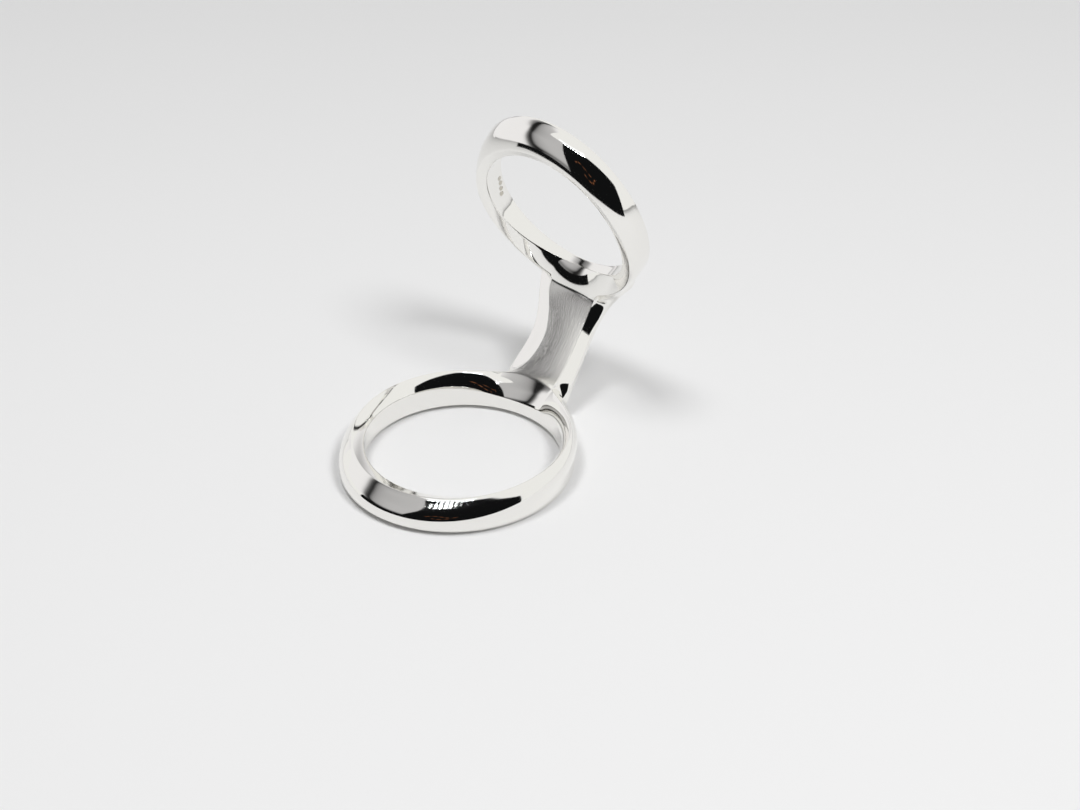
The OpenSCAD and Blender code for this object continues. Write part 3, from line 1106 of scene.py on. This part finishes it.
# %% [markdown]
# The row of small bright lamps gives the dotted line on the lower band, under a pale rail. The curved
# strokes of brown are wood that shows in the dark opening. All of them hang a little in front of the
# opening, so that no two patches share a place.

# %% Lamp rail, lamp row and wood
RAIL_AWAY, LAMPS_AT, WOOD_AWAY = far_away(0.965), far_away(0.97), far_away(0.96)
LAMPS, FIRST_LAMP, LAMP_SPACING, LAMP_WIDTH = 11, -55, 5.8, 2.4
LAMP_LOW, LAMP_HIGH, RAIL_HIGH = 56.4, 57.6, 63.5
WOOD_LENGTH, WOOD_WIDTH, WOOD_WAVE = 22, 1.8, 5
rail = plain_material("lamp_rail", (0.96, 0.98, 1.0), 1.15)
lamp = plain_material("lamp_row", (0.93, 0.97, 1.0), 12.0)
brown = plain_material("brown_wood", (0.75, 0.30, 0.14), 0.35)
patch("lamp_rail", (-58, 10), level(RAIL_LOW), level(RAIL_HIGH), rail, RAIL_AWAY)
for n in range(LAMPS):
    a = FIRST_LAMP + LAMP_SPACING * n
    patch(f"lamp_{n}", (a, a + LAMP_WIDTH), level(LAMP_LOW), level(LAMP_HIGH), lamp, LAMPS_AT, (2, 2))
for n, (left, low, rise) in enumerate(((-32, 30, 5), (-24, 20, -5))):
    patch(
        f"brown_wood_{n}",
        (left, left + WOOD_LENGTH),
        lambda a: low + rise * math.sin((a - left) / WOOD_WAVE),
        lambda a: low + rise * math.sin((a - left) / WOOD_WAVE) + WOOD_WIDTH,
        brown,
        WOOD_AWAY,
        tone=lambda a, e: 0.5 + 0.5 * math.sin(a),
    )
print("lamps in the row:", LAMPS)

# %% [markdown]
# ## Paper, box light and lamps
#
# The paper is a plain rough white, wide enough to fill the picture. It is drawn, but isn't part
# of the ring.

# %% Floor
FLOOR_HALF = 1.5
PAPER_COLOUR, PAPER_ROUGHNESS = (0.86, 0.86, 0.865, 1), 0.8
floor_corners = [(x * FLOOR_HALF, y * FLOOR_HALF, 0) for x, y in ((-1, -1), (1, -1), (1, 1), (-1, 1))]
floor_mesh = bpy.data.meshes.new("floor")
floor_mesh.from_pydata(floor_corners, [], [(0, 1, 2, 3)])
floor = bpy.data.objects.new("floor", floor_mesh)
bpy.context.scene.collection.objects.link(floor)
paper = bpy.data.materials.new("white_paper")
paper.use_nodes = True
paper_shader = paper.node_tree.nodes["Principled BSDF"]
paper_shader.inputs["Base Color"].default_value = PAPER_COLOUR
paper_shader.inputs["Roughness"].default_value = PAPER_ROUGHNESS
floor_mesh.materials.append(paper)
print("paper", round(2 * FLOOR_HALF, 1), "m wide")

# %% [markdown]
# The white walls need no mesh: the world stands for them. They are bright in the silver, while the
# paper is lit by the lamps too. So a Light Path node gives glossy rays one strength of the same white,
# and all other rays a lower one.

# %% White of the box
BOX_WHITE, SHED_ON_PAPER = (1.0, 1.0, 0.985, 1.0), 0.32
world = bpy.data.worlds.new("white_box")
world.use_nodes = True
box = world.node_tree
box.nodes.clear()
rays = add_node(box, "ShaderNodeLightPath")
seen = add_node(box, "ShaderNodeBackground", {"Color": BOX_WHITE, "Strength": BOX_WHITE_SEEN})
shed = add_node(box, "ShaderNodeBackground", {"Color": BOX_WHITE, "Strength": SHED_ON_PAPER})
choice = {0: rays.outputs["Is Glossy Ray"], 1: shed.outputs[0], 2: seen.outputs[0]}
either = add_node(box, "ShaderNodeMixShader", choice)
add_node(box, "ShaderNodeOutputWorld", {"Surface": either.outputs[0]})
bpy.context.scene.world = world
print("box white:", BOX_WHITE_SEEN, "in silver,", SHED_ON_PAPER, "on paper")

# %% [markdown]
# Two round lamps light the paper and cast the soft shadows. They are hidden from the silver, where
# the lamp row stands for them already. The Standard view shows white as white, as a photo does.

# %% Lamps
LAMPS_AWAY = 0.4


def lamp_light(name, azimuth, elevation, size, power):
    """A round lamp that faces the ring. Its size is in millimetres."""
    light = bpy.data.lights.new(name, "AREA")
    light.shape = "DISK"
    light.size = size * MM
    light.energy = power
    made = bpy.data.objects.new(name, light)
    toward = direction(azimuth, elevation)
    made.location = BOX_MIDDLE + toward * LAMPS_AWAY
    made.rotation_euler = toward.to_track_quat("Z", "Y").to_euler()
    made.visible_glossy = False
    bpy.context.scene.collection.objects.link(made)


lamp_light("right_lamps", 45, 58, 130, 0.66)
lamp_light("left_lamps", -71, 77, 130, 0.52)
bpy.context.scene.view_settings.view_transform = "Standard"
print("lamps", LAMPS_AWAY, "m away")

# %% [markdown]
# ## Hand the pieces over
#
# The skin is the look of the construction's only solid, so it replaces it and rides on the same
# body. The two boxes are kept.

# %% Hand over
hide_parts("splint_ring")
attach(ring, "root")
